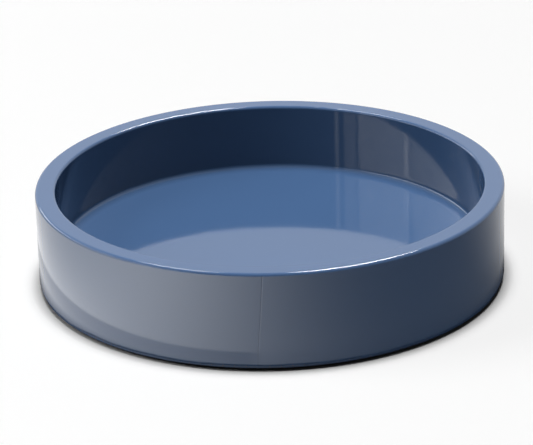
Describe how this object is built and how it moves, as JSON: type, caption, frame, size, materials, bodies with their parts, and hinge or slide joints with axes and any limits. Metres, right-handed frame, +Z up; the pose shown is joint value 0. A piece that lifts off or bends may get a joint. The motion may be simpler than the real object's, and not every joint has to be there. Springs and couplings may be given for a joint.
{
  "type": "coin tray",
  "caption": "Round shallow lacquered tray with an upright rim, for coins and keys.",
  "frame": {"origin": "centre of the underside, on the surface that the tray stands on", "axes": "+Z up along the tray's axis; -Y towards the side that the picture looks at, which carries the outer strip's end joint"},
  "size_m": [0.15, 0.15, 0.032],
  "materials": {
    "hoop_fibreboard": "raw, sanded",
    "panel_fibreboard": "raw, sanded",
    "filler": "sanded filler",
    "lacquer": "high gloss blue-grey lacquer",
    "felt": "pressed felt"
  },
  "bodies": {
    "root": {"outer_strip": "hoop_fibreboard", "middle_strip": "hoop_fibreboard", "inner_strip": "hoop_fibreboard", "floor_panel": "panel_fibreboard", "corner_bead": "filler", "lacquer_coat": "lacquer", "base_felt": "felt"}
  },
  "joints": []
}
